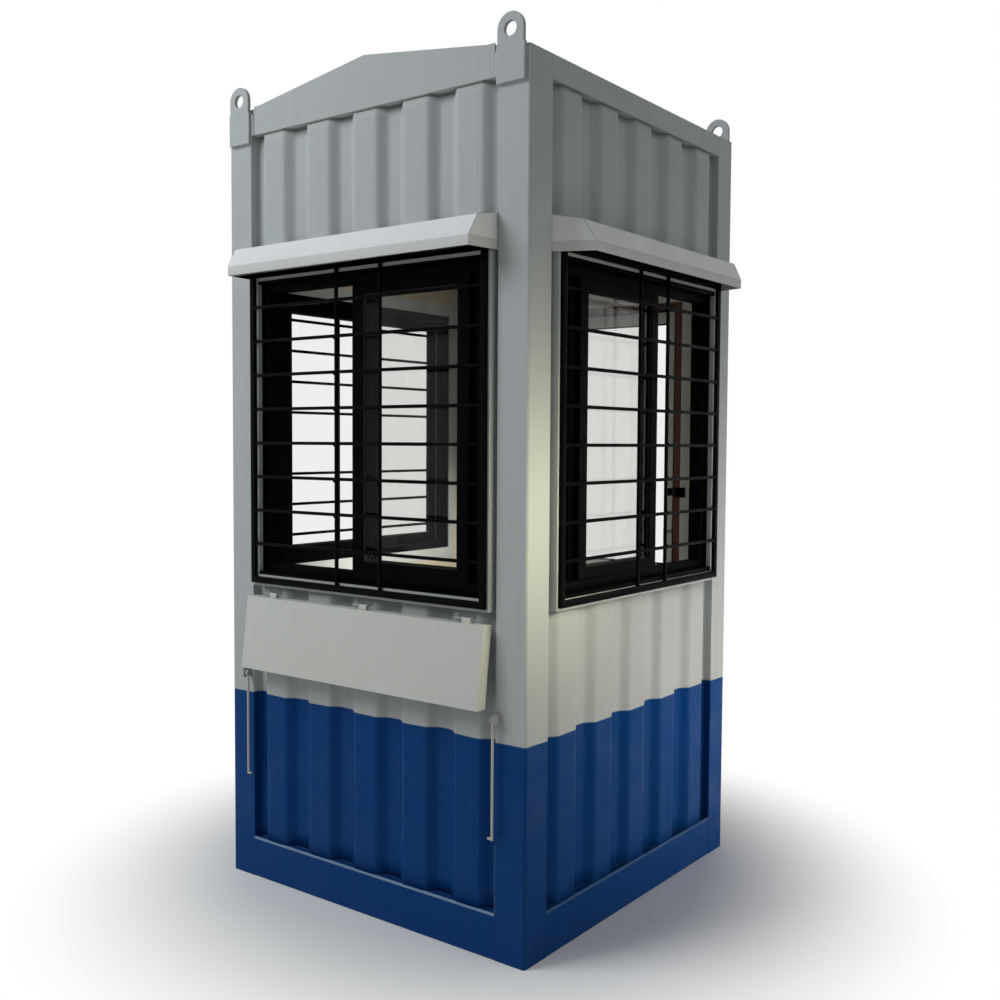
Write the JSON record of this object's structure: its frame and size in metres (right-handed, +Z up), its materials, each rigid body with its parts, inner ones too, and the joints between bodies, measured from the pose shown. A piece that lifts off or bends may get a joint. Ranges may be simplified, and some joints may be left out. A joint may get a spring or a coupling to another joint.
{
  "type": "security guard booth",
  "caption": "Square steel guard cabin with grilled sliding windows, canopies, rear door, fold-down ledge and lifting eyes.",
  "frame": {"origin": "on the ground under the middle of the booth", "axes": "+Z up; the front wall with the ledge faces -Y, the right-hand window wall faces +X, the door faces +Y"},
  "size_m": [1.436, 1.436, 2.604],
  "materials": {
    "wall_paint": "light grey-white gloss enamel over steel, cream towards the foot",
    "base_paint": "deep blue gloss enamel over steel",
    "roof_paint": "light grey enamel, dusty on top",
    "canopy_paint": "white enamel",
    "grille_paint": "black enamel on welded bar",
    "sash_aluminium": "black powder coated aluminium",
    "window_glass": "lightly tinted float glass",
    "lining_board": "cream laminated board",
    "ceiling_paint": "pale laminated board",
    "deck_vinyl": "grey-brown vinyl on board",
    "door_paint": "light grey-white enamel",
    "door_frame_paint": "red-brown primer enamel",
    "bright_steel": "zinc plated steel, a little dull",
    "hinge_steel": "steel, painted over",
    "stay_steel": "pale painted rod",
    "joist_steel": "blue painted tube"
  },
  "bodies": {
    "cabin": {"base_rails": "base_paint", "canopy_back": "canopy_paint", "canopy_front": "canopy_paint", "canopy_left": "canopy_paint", "canopy_right": "canopy_paint", "ceiling_board": "ceiling_paint", "corner_post_bl": "wall_paint", "corner_post_br": "wall_paint", "corner_post_fl": "wall_paint", "corner_post_fr": "wall_paint", "door_frame": "door_frame_paint", "door_hinge_plates": "hinge_steel", "door_surround": "wall_paint", "floor_deck": "deck_vinyl", "floor_joists": "joist_steel", "gable_back": "wall_paint", "gable_front": "wall_paint", "grille_front": "grille_paint", "grille_left": "grille_paint", "grille_right": "grille_paint", "inner_lining": "lining_board", "ledge_fittings": "hinge_steel", "lifting_lug_bl": "wall_paint", "lifting_lug_br": "wall_paint", "lifting_lug_fl": "wall_paint", "lifting_lug_fr": "wall_paint", "roof_sheet": "roof_paint", "top_rails": "wall_paint", "wall_sheet_back": "wall_paint", "wall_sheet_front": "wall_paint", "wall_sheet_left": "wall_paint", "wall_sheet_right": "wall_paint", "window_front": "sash_aluminium", "window_glass_front": "window_glass", "window_glass_left": "window_glass", "window_glass_right": "window_glass", "window_left": "sash_aluminium", "window_right": "sash_aluminium", "window_surround_front": "wall_paint", "window_surround_left": "wall_paint", "window_surround_right": "wall_paint"},
    "door": {"door_leaf": "door_paint", "door_glass": "window_glass", "door_hardware": "bright_steel"},
    "ledge": {"ledge": "wall_paint"},
    "stay_left": {"stay_left": "stay_steel"},
    "stay_right": {"stay_right": "stay_steel"}
  },
  "joints": [
    {"name": "door_hinge", "type": "hinge", "parent": "cabin", "child": "door", "pos_m": [-0.442, 0.636, 1.05], "axis": [0, 0, 1], "range_deg": [0, 170]},
    {"name": "ledge_hinge", "type": "hinge", "parent": "cabin", "child": "ledge", "pos_m": [0, -0.626, 0.96], "axis": [-1, 0, 0], "range_deg": [0, 79.6]},
    {"name": "stay_left_pivot", "type": "hinge", "parent": "cabin", "child": "stay_left", "pos_m": [-0.5105, -0.63, 0.69], "axis": [-1, 0, 0], "range_deg": [0, 140.3]},
    {"name": "stay_right_pivot", "type": "hinge", "parent": "cabin", "child": "stay_right", "pos_m": [0.5105, -0.63, 0.69], "axis": [-1, 0, 0], "range_deg": [0, 140.3]}
  ]
}
